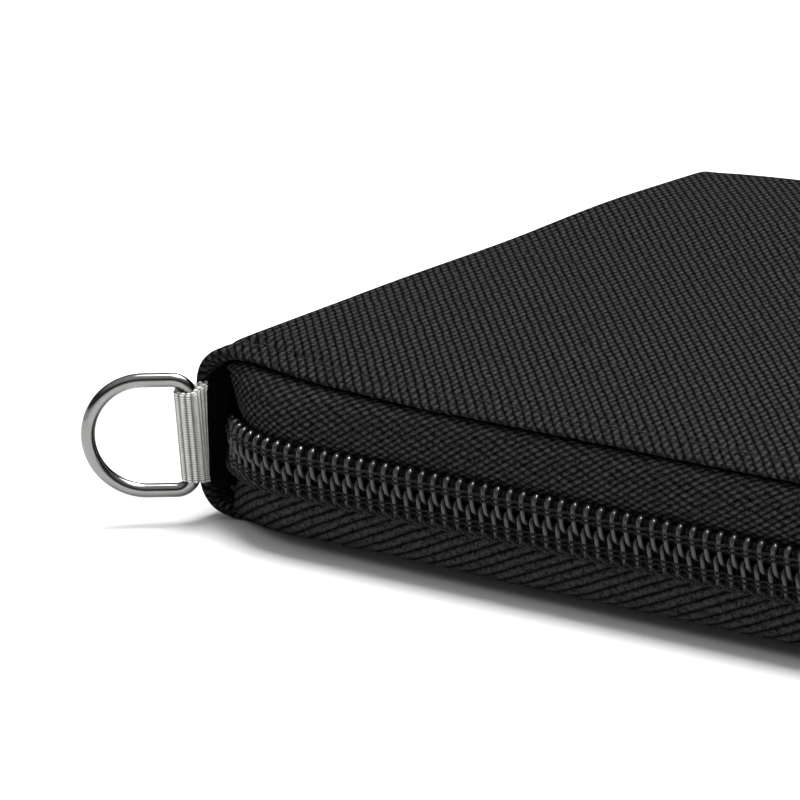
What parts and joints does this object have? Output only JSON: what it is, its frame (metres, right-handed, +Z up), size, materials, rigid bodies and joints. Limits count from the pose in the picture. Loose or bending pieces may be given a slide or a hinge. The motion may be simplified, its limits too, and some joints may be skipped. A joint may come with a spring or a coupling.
{
  "type": "passport holder wallet",
  "caption": "Slim zip-around travel wallet with a fabric cover wrapped over its spine, inside pockets, a zip slider and a webbing loop with a D-shaped ring.",
  "frame": {"origin": "centre of the back cover's flat outside face, which the closed wallet lies on", "axes": "+Z up through the closed wallet's thickness, +X along its long side away from the spine, +Y along the spine, away from the ring"},
  "size_m": [0.153, 0.1147, 0.0196],
  "materials": {
    "cover_fabric": "black twill-woven polyester, matte",
    "board": "plain stiffening board",
    "lining_fabric": "fine plain-weave lining",
    "pocket_fabric": "fine plain-weave lining",
    "binding": "grosgrain edge binding",
    "zip_tape": "herringbone-woven zip tape",
    "zip_coil": "satin nylon monofilament",
    "zip_metal": "black nickel",
    "webbing": "light grey woven ribbon",
    "ring_metal": "polished gunmetal plating"
  },
  "bodies": {
    "back_half": {"back_cover_fabric": "cover_fabric", "back_board": "board", "back_lining": "lining_fabric", "back_zip_tape": "zip_tape", "back_zip_coil": "zip_coil", "back_zip_stops": "zip_metal", "passport_pocket": "pocket_fabric", "passport_pocket_binding": "binding"},
    "spine": {"spine_fabric": "cover_fabric", "spine_board": "board", "spine_lining": "lining_fabric", "webbing_tail": "webbing"},
    "front_half": {"front_cover_fabric": "cover_fabric", "front_board": "board", "front_lining": "lining_fabric", "front_zip_tape": "zip_tape", "front_zip_coil": "zip_coil", "front_zip_stops": "zip_metal", "note_pocket": "pocket_fabric", "note_pocket_binding": "binding", "card_pocket_1": "pocket_fabric", "card_pocket_2": "pocket_fabric", "card_pocket_3": "pocket_fabric", "card_pocket_binding": "binding"},
    "ring_loop": {"webbing_loop": "webbing"},
    "ring": {"d_ring": "ring_metal"},
    "slider": {"slider_body": "zip_metal", "slider_crown": "zip_metal"},
    "puller": {"pull_link": "zip_metal", "pull_tab": "zip_metal"}
  },
  "joints": [
    {"name": "spine_fold", "type": "hinge", "parent": "back_half", "child": "spine", "pos_m": [-0.06993, 0, 0.00107], "axis": [0, -1, 0], "range_deg": [0, 90]},
    {"name": "front_fold", "type": "hinge", "parent": "spine", "child": "front_half", "pos_m": [-0.06993, 0, 0.01853], "axis": [0, -1, 0], "range_deg": [0, 90]},
    {"name": "loop_flex", "type": "hinge", "parent": "spine", "child": "ring_loop", "pos_m": [-0.06805, -0.0475, 0.0098], "axis": [0, 0, 1], "range_deg": [0, 52.4]},
    {"name": "ring_swing", "type": "hinge", "parent": "ring_loop", "child": "ring", "pos_m": [-0.07, -0.0501, 0.0098], "axis": [0, 0, 1], "range_deg": [-70, 70]},
    {"name": "slider_travel", "type": "slide", "parent": "back_half", "child": "slider", "axis": [1, 0, 0], "range_m": [0, 0.1]},
    {"name": "pull_swing", "type": "hinge", "parent": "slider", "child": "puller", "pos_m": [-0.052, 0.0557, 0.00915], "axis": [0, 0, 1], "range_deg": [0, 175]}
  ],
  "couplings": [
    {"joint": "front_fold", "follows": "spine_fold", "ratio": 1},
    {"joint": "loop_flex", "follows": "spine_fold", "ratio": 0.5822}
  ]
}
